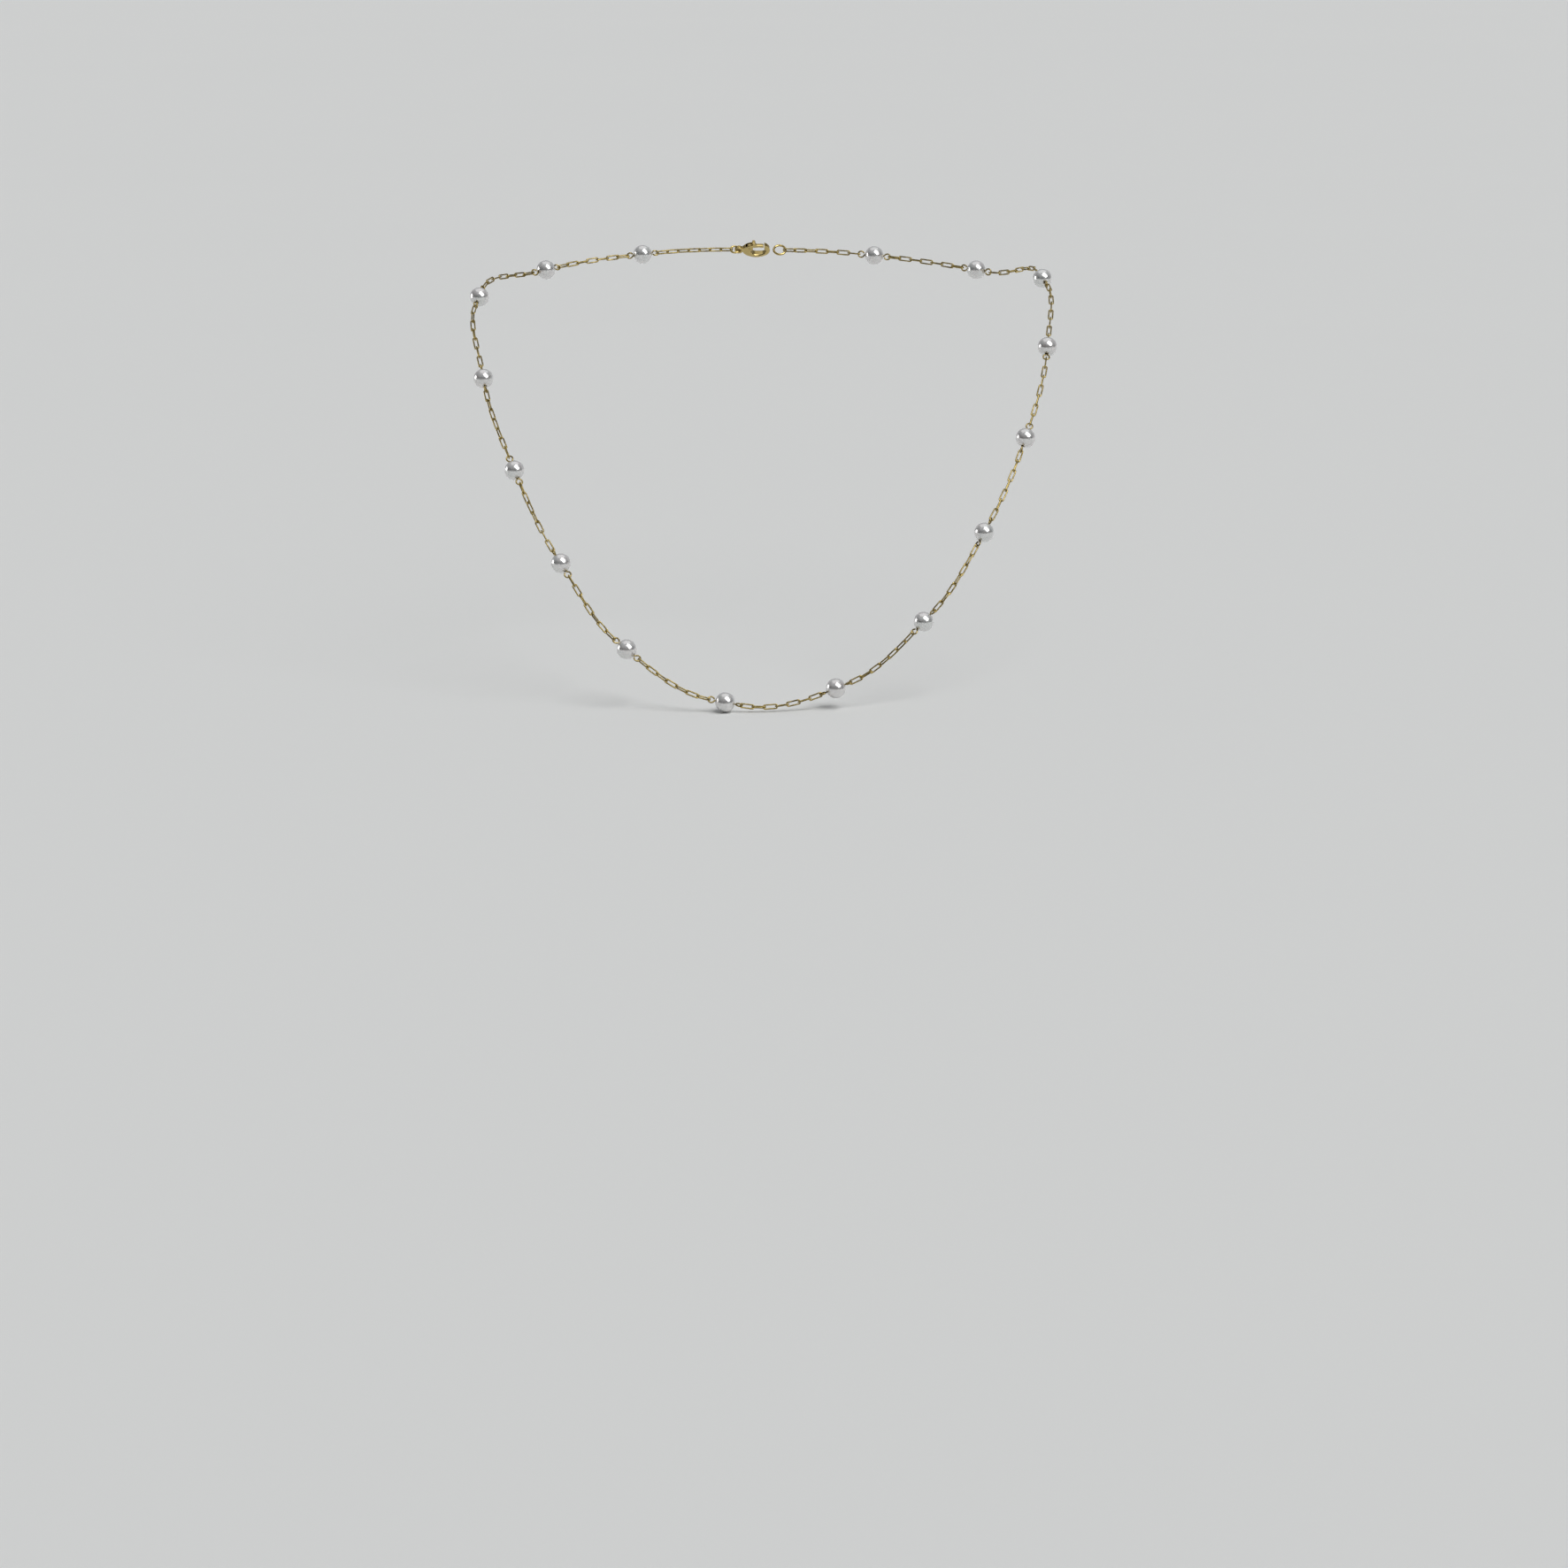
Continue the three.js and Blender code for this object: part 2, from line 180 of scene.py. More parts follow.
def sweep_wire(bm, points, radius, sides, normal, closed, wear):
    """Sweeps round wire along points. normal is a direction across the path's first point, and wear
    a function of the point's index that gives its share of rubbing."""
    layer = bm.verts.layers.float[WEAR_AND_HOLE_SHADE]
    across = normal.normalized()
    previous = path_tangent(points, 0, closed)
    rings = []
    for index, point in enumerate(points):
        tangent = path_tangent(points, index, closed)
        across = previous.rotation_difference(tangent) @ across
        across = (across - tangent * across.dot(tangent)).normalized()
        previous = tangent
        side_way = tangent.cross(across)
        ring = []
        for side in range(sides):
            angle = 2 * math.pi * side / sides
            spoke = across * math.cos(angle) + side_way * math.sin(angle)
            vertex = bm.verts.new(point + spoke * radius)
            vertex[layer] = wear(index)
            ring.append(vertex)
        rings.append(ring)
    last = len(rings) if closed else len(rings) - 1
    for index in range(last):
        join_rings(bm, rings[index], rings[(index + 1) % len(rings)])
    if not closed:
        cap_wire(bm, rings[0], points[0], points[0] - points[1], radius)
        cap_wire(bm, rings[-1], points[-1], points[-1] - points[-2], radius)


def join_rings(bm, ring, other):
    """Faces between two rings of the same number of points."""
    count = len(ring)
    for side in range(count):
        after = (side + 1) % count
        bm.faces.new((ring[side], ring[after], other[after], other[side]))


CUT_END_CHAMFER = 0.25  # how far a cut end's chamfer reaches, as a share of the wire's radius
CUT_END_FACE = 0.72  # the flat cut face's radius, as a share of the wire's


def cap_wire(bm, ring, centre, outward, radius):
    """Closes a wire's end with a small chamfer and a flat cut face."""
    layer = bm.verts.layers.float[WEAR_AND_HOLE_SHADE]
    step = outward.normalized() * radius * CUT_END_CHAMFER
    inner = []
    for vertex in ring:
        shrunk = centre + (vertex.co - centre) * CUT_END_FACE + step
        made = bm.verts.new(shrunk)
        made[layer] = 0.0
        inner.append(made)
    join_rings(bm, ring, inner)
    bm.faces.new(inner)


def arc_points(centre, first, second, radius, start, end, count):
    """Points on an arc in the plane of the unit vectors first and second."""
    points = []
    for index in range(count):
        angle = start + (end - start) * index / (count - 1)
        points.append(centre + (first * math.cos(angle) + second * math.sin(angle)) * radius)
    return points


def straight_points(start, end, count):
    """Points strictly between start and end."""
    return [start.lerp(end, (index + 1) / (count + 1)) for index in range(count)]


# ---- materials ---------------------------------------------------------------------------------


def new_material(name):
    """A material with only a Principled shader and its output, and the two nodes to build on."""
    material = bpy.data.materials.new(name)
    material.use_nodes = True
    tree = material.node_tree
    return material, tree, tree.nodes["Principled BSDF"]


def noise_value(tree, pattern):
    """A noise over the object's own coordinates. A pattern is its scale, with features about
    1 / scale metres across, its number of finer octaves, and how strong those are."""
    scale, octaves, strength = pattern
    where = tree.nodes.new("ShaderNodeTexCoord")
    texture = tree.nodes.new("ShaderNodeTexNoise")
    texture.inputs["Scale"].default_value = scale
    texture.inputs["Detail"].default_value = octaves
    texture.inputs["Roughness"].default_value = strength
    tree.links.new(where.outputs["Object"], texture.inputs["Vector"])
    return texture.outputs["Fac"]


def mapped_range(tree, value, low, high, to_low, to_high):
    """value taken from the range low to high into another range."""
    node = tree.nodes.new("ShaderNodeMapRange")
    node.inputs["From Min"].default_value = low
    node.inputs["From Max"].default_value = high
    node.inputs["To Min"].default_value = to_low
    node.inputs["To Max"].default_value = to_high
    tree.links.new(value, node.inputs["Value"])
    return node.outputs["Result"]


def mixed_colour(tree, share, first, second):
    """A colour between two, each a colour or a socket, by a share socket."""
    node = tree.nodes.new("ShaderNodeMix")
    node.data_type = "RGBA"
    for socket, value in (("A", first), ("B", second)):
        found = [i for i in node.inputs if i.name == socket and i.type == "RGBA"][0]
        if isinstance(value, tuple):
            found.default_value = (*value, 1.0)
        else:
            tree.links.new(value, found)
    tree.links.new(share, node.inputs["Factor"])
    return [o for o in node.outputs if o.type == "RGBA"][0]


def attribute_value(tree, name):
    """A number that the mesh's points carry."""
    node = tree.nodes.new("ShaderNodeAttribute")
    node.attribute_name = name
    return node.outputs["Fac"]


def add_bump(tree, shader, height, distance, strength):
    """Bump of a depth in metres on a shader."""
    node = tree.nodes.new("ShaderNodeBump")
    node.inputs["Distance"].default_value = distance
    node.inputs["Strength"].default_value = strength
    tree.links.new(height, node.inputs["Height"])
    tree.links.new(node.outputs["Normal"], shader.inputs["Normal"])


GOLD_CLOUDS = (620, 3, 0.55)
GOLD_STAINS = (1900, 4, 0.6)
GOLD_HAZE = (2600, 4, 0.6)
GOLD_GRAIN = (5200, 3, 0.6)
GOLD_ROUGHNESS = (0.06, 0.18)  # where the plating is clearest and where it is most hazed
MOST_STAIN = 0.45
MOST_RUBBING = 0.75


def gold_material(name, bright, deep, tarnish):
    """Polished pale yellow gold plating: bright where links rub, deeper and duller in between."""
    material, tree, shader = new_material(name)
    clouds = mapped_range(tree, noise_value(tree, GOLD_CLOUDS), 0.35, 0.7, 0, 1)
    tone = mixed_colour(tree, clouds, bright, deep)
    stain = mapped_range(tree, noise_value(tree, GOLD_STAINS), 0.56, 0.72, 0, MOST_STAIN)
    stained = mixed_colour(tree, stain, tone, tarnish)
    rubbing = mapped_range(tree, attribute_value(tree, WEAR_AND_HOLE_SHADE), 0, 1, 0, MOST_RUBBING)
    tree.links.new(mixed_colour(tree, rubbing, stained, bright), shader.inputs["Base Color"])
    shader.inputs["Metallic"].default_value = 1.0
    haze = mapped_range(tree, noise_value(tree, GOLD_HAZE), 0.3, 0.75, *GOLD_ROUGHNESS)
    tree.links.new(haze, shader.inputs["Roughness"])
    add_bump(tree, shader, noise_value(tree, GOLD_GRAIN), 0.004 * MM, 0.5)
    return material


PEARL_CLOUDS = (260, 3, 0.5)
PEARL_MILK = (900, 4, 0.6)
PEARL_HAZE = (1300, 3, 0.5)
PEARL_ORANGE_PEEL = (2400, 4, 0.55)
PEARL_GREENISH = (0.78, 0.79, 0.78)
PEARL_ROSE = (0.82, 0.79, 0.79)
PEARL_MILKY = (0.84, 0.84, 0.81)
PEARL_CORE_AND_HOLE_SHADE = (0.62, 0.56, 0.47)  # bare bead core in the bore, and painted shade round the hole's rim where the lacquer thins
PEARL_ROUGHNESS = (0.17, 0.25)  # of the nacre under the clear coat
PEARL_LUSTRE = 0.64  # how far the nacre reflects as a metal does
MOST_MILK = 0.35


def pearl_material():
    """Imitation pearl: a white body under a glossy nacre lacquer with a faint pink and green play."""
    material, tree, shader = new_material("pearl_nacre")
    clouds = mapped_range(tree, noise_value(tree, PEARL_CLOUDS), 0.35, 0.68, 0, 1)
    overtone = mixed_colour(tree, clouds, PEARL_GREENISH, PEARL_ROSE)
    milk = mapped_range(tree, noise_value(tree, PEARL_MILK), 0.45, 0.7, 0, MOST_MILK)
    body = mixed_colour(tree, milk, overtone, PEARL_MILKY)
    # Painted shade: the bore and a halo round the hole take the darker, browner bare core colour.
    core_and_hole_shade = mixed_colour(tree, attribute_value(tree, WEAR_AND_HOLE_SHADE), body, PEARL_CORE_AND_HOLE_SHADE)
    tree.links.new(core_and_hole_shade, shader.inputs["Base Color"])
    haze = mapped_range(tree, noise_value(tree, PEARL_HAZE), 0.3, 0.7, *PEARL_ROUGHNESS)
    tree.links.new(haze, shader.inputs["Roughness"])
    shader.inputs["Metallic"].default_value = PEARL_LUSTRE
    shader.inputs["IOR"].default_value = 1.62
    shader.inputs["Coat Weight"].default_value = 1.0
    shader.inputs["Coat Roughness"].default_value = 0.05
    shader.inputs["Coat IOR"].default_value = 1.55
    shader.inputs["Sheen Weight"].default_value = 0.12
    shader.inputs["Sheen Roughness"].default_value = 0.3
    shader.inputs["Sheen Tint"].default_value = (1.0, 0.93, 0.95, 1.0)
    shader.inputs["Subsurface Weight"].default_value = 0.12
    shader.inputs["Subsurface Radius"].default_value = (1.0, 0.85, 0.8)
    shader.inputs["Subsurface Scale"].default_value = 0.6 * MM
    add_bump(tree, shader, noise_value(tree, PEARL_ORANGE_PEEL), 0.006 * MM, 0.35)
    return material


STEEL_BRUSHING = (1500, 4, 0.6)
STEEL_GRAIN = (7000, 2, 0.5)
STEEL_LIGHT = (0.56, 0.55, 0.53)
STEEL_DARK = (0.42, 0.41, 0.40)
STEEL_ROUGHNESS = (0.22, 0.38)


def steel_material():
    """Plain spring steel with a soft, uneven finish."""
    material, tree, shader = new_material("spring_leaf_steel")
    clouds = noise_value(tree, STEEL_BRUSHING)
    tone = mixed_colour(tree, clouds, STEEL_LIGHT, STEEL_DARK)
    tree.links.new(tone, shader.inputs["Base Color"])
    shader.inputs["Metallic"].default_value = 1.0
    haze = mapped_range(tree, clouds, 0.3, 0.7, *STEEL_ROUGHNESS)
    tree.links.new(haze, shader.inputs["Roughness"])
    add_bump(tree, shader, noise_value(tree, STEEL_GRAIN), 0.003 * MM, 0.5)
    return material


BOARD_CLOUDS = (3, 2, 0.5)
BOARD_ROLLER_MARKS = (700, 2, 0.5)
BOARD_TONES = ((0.798, 0.806, 0.797), (0.802, 0.809, 0.8))


def floor_material():
    """Matt, pale painted board with the faintest roller texture."""
    material, tree, shader = new_material("floor_board")
    clouds = mapped_range(tree, noise_value(tree, BOARD_CLOUDS), 0.3, 0.7, 0, 1)
    tree.links.new(mixed_colour(tree, clouds, *BOARD_TONES), shader.inputs["Base Color"])
    shader.inputs["Roughness"].default_value = 0.7
    shader.inputs["Specular IOR Level"].default_value = 0.0
    add_bump(tree, shader, noise_value(tree, BOARD_ROLLER_MARKS), 0.05 * MM, 0.2)
    return material


CHAIN_GOLD = gold_material(
    "chain_gold_plate", bright=(0.46, 0.36, 0.14), deep=(0.11, 0.08, 0.027), tarnish=(0.03, 0.02, 0.008)
)
PIN_GOLD = gold_material(
    "pin_gold_plate", bright=(0.46, 0.36, 0.15), deep=(0.14, 0.105, 0.036), tarnish=(0.04, 0.027, 0.01)
)
CLASP_GOLD = gold_material(
    "clasp_gold_plate", bright=(0.60, 0.47, 0.20), deep=(0.44, 0.33, 0.12), tarnish=(0.16, 0.11, 0.03)
)
PEARL_NACRE = pearl_material()
SPRING_STEEL = steel_material()

# ---- pearls ------------------------------------------------------------------------------------

PEARL_SEGMENTS = 72  # round the hole's axis
PEARL_STACKS = 48  # from hole to hole over the outside
RIM_FILLET = 0.09 * MM
RIM_STEPS = 5
BORE_STEPS = 6
PEARL_UNEVEN = 0.004  # how far the bead departs from a true ball, as a share of its radius
UNEVEN_SPREAD = 0.9  # swellings to a radius
OUTER_SHARE = 0.97  # points past this share of the radius are on the outside
HOLE_SHADE_HALO = 0.22 * MM  # the width round the hole of the painted shade, where the lacquer thins
PEARL_SEED = Vector((7.3, 3.1, 0))  # makes each bead uneven in its own way
HOLE_SHADE_START = PEARL_HOLE_RADIUS + RIM_FILLET * 0.6


def pearl_profile():
    """The drilled bead's half section as (distance from the axis, height) pairs, once round."""
    hole, fillet = PEARL_HOLE_RADIUS, RIM_FILLET
    fillet_height = math.sqrt((PEARL_RADIUS - fillet) ** 2 - (hole + fillet) ** 2)
    polar = math.atan2(hole + fillet, fillet_height)
    outside = []
    for stack in range(PEARL_STACKS + 1):
        angle = polar + (math.pi - 2 * polar) * stack / PEARL_STACKS
        outside.append((PEARL_RADIUS * math.sin(angle), PEARL_RADIUS * math.cos(angle)))
    lower_rim = []
    for step in range(1, RIM_STEPS + 1):
        angle = -math.pi / 2 + polar + (-math.pi / 2 - polar) * step / RIM_STEPS
        distance = hole + fillet + fillet * math.cos(angle)
        lower_rim.append((distance, fillet * math.sin(angle) - fillet_height))
    bore = []
    for step in range(1, BORE_STEPS):
        bore.append((hole, -fillet_height + 2 * fillet_height * step / BORE_STEPS))
    upper_rim = [(distance, -height) for distance, height in reversed(lower_rim)]
    return outside + lower_rim + bore + upper_rim


def pearl_bead(number):
    """One pearl: a lathed bead with a softly rounded drill hole, very slightly uneven."""
    centre, along = joint_place(f"pearl_spin_{number:02d}")
    place = basis_along(along, 0, centre)
    bm = new_bmesh()
    layer = bm.verts.layers.float[WEAR_AND_HOLE_SHADE]
    profile = pearl_profile()
    seed = PEARL_SEED * number
    rings = []
    for distance, height in profile:
        ring = []
        for segment in range(PEARL_SEGMENTS):
            angle = 2 * math.pi * segment / PEARL_SEGMENTS
            local = Vector((distance * math.cos(angle), distance * math.sin(angle), height))
            swell = 0
            if local.length > PEARL_RADIUS * OUTER_SHARE:
                swell = PEARL_UNEVEN * noise.noise(local / PEARL_RADIUS * UNEVEN_SPREAD + seed)
            vertex = bm.verts.new(place @ (local * (1 + swell)))
            # Marks the bore and a halo round its rim for the bare core colour and the painted hole
            # shade.
            past_rim = (distance - HOLE_SHADE_START) / HOLE_SHADE_HALO
            vertex[layer] = 1 - min(max(past_rim, 0), 1)
            ring.append(vertex)
        rings.append(ring)
    for index in range(len(rings)):
        join_rings(bm, rings[index], rings[(index + 1) % len(rings)])
    bead = object_of(f"pearl_bead_{number:02d}", bm, PEARL_NACRE)
    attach(bead, f"pearl_{number:02d}")
    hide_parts(f"pearl_{number:02d}")


# ---- eye pins ----------------------------------------------------------------------------------

EYE_CENTRE = PEARL_RADIUS + EYE_GAP + PIN_RADIUS + EYE_RADIUS
EYE_START = math.radians(-56)  # where the wire joins the eye, from the eye's side
EYE_END = math.radians(246)  # where its cut end stops, beside the neck
EYE_STEPS = 30
WIRE_SIDES = 12
SHAFT_STEPS = (1.4 * MM, 2.0 * MM, 2.4 * MM)  # heights of the shaft's points above the pearl's middle
KINK = Vector((0, 0.08 * MM, PEARL_RADIUS + 0.12 * MM))  # where the wire leaves the pearl's axis


def eye_path(place, sign):
    """The wire's middle line from inside the pearl's bore, round one eye, to its cut end."""
    out = (place.to_3x3() @ Vector((0, 0, 1))) * sign
    side = place.to_3x3() @ Vector((0, 1, 0))
    origin = place.translation
    neck = [origin + out * height for height in SHAFT_STEPS]
    kink = origin + out * KINK.z + side * KINK.y
    eye = arc_points(origin + out * EYE_CENTRE, side, out, EYE_RADIUS, EYE_START, EYE_END, EYE_STEPS)
    return neck + [kink] + eye


def eye_pin(number):
    """One wire pin: a shaft through the pearl, bent into an eye at each end."""
    centre, along = joint_place(f"pearl_spin_{number:02d}")
    # each eye is square to the link that hangs in it
    near_place = basis_along(along, link_roll(number, LINKS - 1) + math.pi / 2, centre)
    far_place = basis_along(along, link_roll(number + 1, 0) + math.pi / 2, centre)
    near, far = eye_path(near_place, -1), eye_path(far_place, 1)
    points = list(reversed(near)) + [centre.copy()] + far
    quarter = EYE_STEPS // 4

    def wear(index):
        from_end = min(index, len(points) - 1 - index)
        return max(0.0, 1 - abs(from_end - EYE_STEPS / 2) / quarter)

    bm = new_bmesh()
    normal = near_place.to_3x3() @ Vector((1, 0, 0))
    sweep_wire(bm, points, PIN_RADIUS, WIRE_SIDES, normal, False, wear)
    pin = object_of(f"wire_pin_{number:02d}", bm, PIN_GOLD)
    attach(pin, f"pin_{number:02d}")
    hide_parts(f"eye_pin_{number:02d}")


# ---- runs of links -----------------------------------------------------------------------------

CURVE_STEPS = 240
CORNER_STEPS = 6
LONG_SIDE_STEPS = 6
LINK_SIDES = 12
RUBBED_FROM = 0.72  # where rubbing starts, as a share of the way from a link's middle to its end
RUBBED_FULLY = 1.02


def hanging_reach(centre, radius, wire_radius):
    """How far from a ring's station the end bar of the link that hangs in it lies."""
    return centre + radius - wire_radius - LINK_WIRE_RADIUS - LINK_PLAY


EYE_REACH = hanging_reach(EYE_CENTRE, EYE_RADIUS, PIN_RADIUS)


def run_ends():
    """For each run, its two ends as (middle, direction along the chain)."""
    stations = [joint_place(f"pearl_spin_{number:02d}") for number in range(1, PEARLS + 1)]
    clasp_ring, end_ring = box_middle("clasp_ring"), box_middle("end_ring")
    clasp_ring_along = (joint_place("clasp_ring_swing")[0] - clasp_ring).normalized()
    end_ring_along = (end_ring - joint_place("end_ring_swing")[0]).normalized()
    clasp_reach = hanging_reach(0, CLASP_RING_RADIUS, CLASP_RING_WIRE_RADIUS)
    end_reach = hanging_reach(0, END_RING_RADIUS, END_RING_WIRE_RADIUS)
    starts = [(clasp_ring + clasp_ring_along * clasp_reach, clasp_ring_along)]
    starts += [(middle + along * EYE_REACH, along) for middle, along in stations]
    ends = [(middle - along * EYE_REACH, along) for middle, along in stations]
    ends.append((end_ring - end_ring_along * end_reach, end_ring_along))
    return list(zip(starts, ends))


def bezier_at(points, share):
    """The point and the direction of a cubic curve at a share of its parameter."""
    rest = 1 - share
    a, b, c, d = points
    point = a * rest**3 + b * (3 * rest * rest * share) + c * (3 * rest * share * share) + d * share**3
    slope = (b - a) * (rest * rest) + (c - b) * (2 * rest * share) + (d - c) * (share * share)
    return point, slope.normalized()


def curve_table(start, end):
    """Points and directions on a run's curve, with the length up to each."""
    (first, along), (last, last_along) = start, end
    handle = (last - first).length / 3
    points = (first, first + along * handle, last - last_along * handle, last)
    table, length, previous = [], 0.0, first
    for step in range(CURVE_STEPS + 1):
        point, slope = bezier_at(points, step / CURVE_STEPS)
        length += (point - previous).length
        table.append((length, point, slope))
        previous = point
    return table


def place_on(table, length):
    """The point and direction at a length along a curve's table."""
    for (before, point, slope), (after, next_point, next_slope) in zip(table, table[1:]):
        if after >= length:
            share = (length - before) / (after - before)
            return point.lerp(next_point, share), slope.lerp(next_slope, share).normalized()
    return table[-1][1], table[-1][2]


def link_path(place, length):
    """The wire's middle line of one rounded rectangular link, length over the middle of its wire."""
    half_length = length / 2
    half_width = LINK_WIDTH / 2 - LINK_WIRE_RADIUS
    across, along = Vector((0, 1, 0)), Vector((0, 0, 1))
    points = []
    for quarter in range(4):
        turn = quarter * math.pi / 2
        sign_across = 1 if quarter in (0, 3) else -1
        sign_along = 1 if quarter in (0, 1) else -1
        corner = across * sign_across * (half_width - LINK_CORNER)
        corner += along * sign_along * (half_length - LINK_CORNER)
        points += arc_points(corner, across, along, LINK_CORNER, turn, turn + math.pi / 2, CORNER_STEPS)
        if quarter in (1, 3):
            start = points[-1]
            end = Vector((start.x, start.y, -start.z))
            points += straight_points(start, end, LONG_SIDE_STEPS)
    return [place @ point for point in points]


def link_run(number, start, end):
    """One run: seven separate wire links, each turned a quarter from the one before."""
    table = curve_table(start, end)
    length = table[-1][0]
    wire = 2 * LINK_WIRE_RADIUS + LINK_CLEARANCE
    pitch = (length - wire) / LINKS
    bm = new_bmesh()
    for link in range(LINKS):
        middle, slope = place_on(table, (pitch + wire) / 2 + link * pitch)
        place = basis_along(slope, link_roll(number, link), middle)
        points = link_path(place, pitch + wire)
        normal = place.to_3x3() @ Vector((1, 0, 0))

        def wear(index):
            from_middle = abs((points[index] - middle).dot(slope)) / (pitch / 2)
            return min(max((from_middle - RUBBED_FROM) / (RUBBED_FULLY - RUBBED_FROM), 0), 1)

        sweep_wire(bm, points, LINK_WIRE_RADIUS, LINK_SIDES, normal, True, wear)
    run = object_of(f"link_run_{number:02d}", bm, CHAIN_GOLD)
    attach(run, "front_run" if number == FRONT_RUN else f"run_{number:02d}")
    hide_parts(f"chain_{number:02d}")


# ---- rings at the nape ---------------------------------------------------------------------------

RING_STEPS = 56
RING_SIDES = 16
RING_SPLIT = math.radians(1.5)  # half the angle of the saw cut
RING_WEAR = 0.4
CLASP_RING_SPLIT_AT = math.radians(90)  # from the link that the ring hangs in
END_RING_SPLIT_AT = math.radians(70)


def split_ring(name, body, node, radius, wire_radius, joint, split_towards):
    """A jump ring of round wire, closed with a fine saw cut."""
    middle = box_middle(node)
    hinge, normal = joint_place(joint)
    first = (hinge - middle).normalized()
    second = normal.cross(first).normalized()
    start, end = split_towards + RING_SPLIT, split_towards + 2 * math.pi - RING_SPLIT
    points = arc_points(middle, first, second, radius, start, end, RING_STEPS)
    bm = new_bmesh()
    sweep_wire(bm, points, wire_radius, RING_SIDES, normal, False, lambda index: RING_WEAR)
    ring = object_of(name, bm, CLASP_GOLD)
    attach(ring, body)
    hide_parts(node)


# ---- clasp ---------------------------------------------------------------------------------------

# The clasp is sculpted in millimetres, because a remesh can't be finer than a tenth of a unit.
CLAW_THICKNESS = CLASP_THICKNESS / MM
RIVET_PLACE = (RIVET_MIDDLE.x / MM, RIVET_MIDDLE.y / MM)
CLAW_BACK = [
    ((0.92, -0.69), (2.4, -2.3), (4.2, -2.4), (5.2, -2.4)),
    ((5.2, -2.4), (7.2, -2.4), (8.4, -1.4), (8.4, 0)),
    ((8.4, 0), (8.4, 1.6), (7.0, 2.4), (5.2, 2.4)),
    ((5.2, 2.4), (3.6, 2.4), (2.2, 1.6), (0.92, 0.69)),
]
CLAW_OPENING = {"middle": (5.35, 0.15), "half_length": 2.0, "half_width": 1.25}
CLAW_ROUND = {"middle": (4.9, 0.0), "half_length": 3.5, "half_width": 2.45}  # about its outside
CLAW_CROWN = 0.34  # how much thinner the claw is at its edges than along its middle
CROWN_START, CROWN_FULL = 1.6, 3.2  # x between which the crown grows
NECK_START, NECK_FULL = 0.9, 3.0  # x between which the claw thickens from its tail
NOSE_START, NOSE_END = 5.0, 8.4  # x between which it thins to its nose
NOSE_THINNING = 0.3
CLAW_MOUTH = {"low": (3.7, -3.0), "high": (6.8, -0.35)}
LEVER_SLOT = {"low": (1.75, -3.0), "high": (6.0, 0.4), "width": 1.1}
LEVER_OUTLINE = [
    ((2.2, -0.85), (2.3, -0.6), (2.6, -0.5), (2.9, -0.5)),
    ((2.9, -0.5), (3.3, -0.55), (3.4, -0.85), (3.6, -0.9)),
    ((3.6, -0.9), (4.4, -1.16), (5.6, -1.16), (6.5, -1.02)),
    ((6.5, -1.02), (6.68, -1.1), (6.68, -1.75), (6.5, -1.86)),
    ((6.5, -1.86), (5.8, -1.93), (5.0, -1.9), (4.65, -1.98)),
    ((4.65, -1.98), (4.4, -2.2), (4.45, -2.9), (4.2, -3.02)),
    ((4.2, -3.02), (4.0, -3.14), (3.6, -3.14), (3.48, -3.02)),
    ((3.48, -3.02), (3.3, -2.7), (3.4, -2.1), (3.1, -1.92)),
    ((3.1, -1.92), (2.6, -1.85), (2.2, -1.7), (2.2, -1.5)),
]
THUMB_TAB = {"low": (3.5, -3.1), "high": (4.2, -2.55), "thickness": 1.3}
TAB_START, TAB_FULL = -2.35, -2.65  # y between which the lever widens to its tab
CURVE_POINTS = 14  # points on each curve of an outline
DISC_POINTS = 40
CUTTER_LENGTH = 4.0
CLASP_VOXEL = 0.055
TUMBLING = 11  # smoothing passes, which round the cast edges
TUMBLING_SHARE = 0.5  # how far each pass moves a point towards its neighbours
TINY = 1e-6  # keeps a share of nothing from dividing by 0
POLISHED_FROM, POLISHED_FULLY = 0.55, 0.98  # shares of the half thickness


def clasp_frame():
    """The clasp's own frame, from its two joints: the eye's middle and the lever's rivet."""
    origin, through = joint_place("clasp_swing")
    to_rivet = joint_place("clasp_lever_press")[0] - origin
    turned = through.cross(to_rivet)
    far, across = RIVET_MIDDLE.x, RIVET_MIDDLE.y
    x_axis = ((to_rivet * far - turned * across) / (far**2 + across**2)).normalized()
    y_axis = through.cross(x_axis).normalized()
    axes = Matrix((x_axis, y_axis, through)).transposed().to_4x4()
    return Matrix.Translation(origin) @ axes


CLASP_FRAME = clasp_frame()


def curved_outline(curves):
    """Points round a closed outline of cubic curves in the XY plane."""
    points = []
    for curve in curves:
        corners = [Vector((x, y, 0)) for x, y in curve]
        for step in range(CURVE_POINTS):
            points.append(bezier_at(corners, step / CURVE_POINTS)[0])
    return points


def ellipse_outline(middle, half_length, half_width):
    """Points round an ellipse in the XY plane."""
    points = []
    for step in range(DISC_POINTS):
        angle = 2 * math.pi * step / DISC_POINTS
        x = middle[0] + half_length * math.cos(angle)
        y = middle[1] + half_width * math.sin(angle)
        points.append(Vector((x, y, 0)))
    return points


def disc_outline(middle, radius):
    """Points round a circle in the XY plane, its radius given in metres."""
    return ellipse_outline(middle, radius / MM, radius / MM)


def box_outline(low, high):
    """The corners of a rectangle in the XY plane."""
    return [Vector((x, y, 0)) for x, y in (low, (high[0], low[1]), high, (low[0], high[1]))]


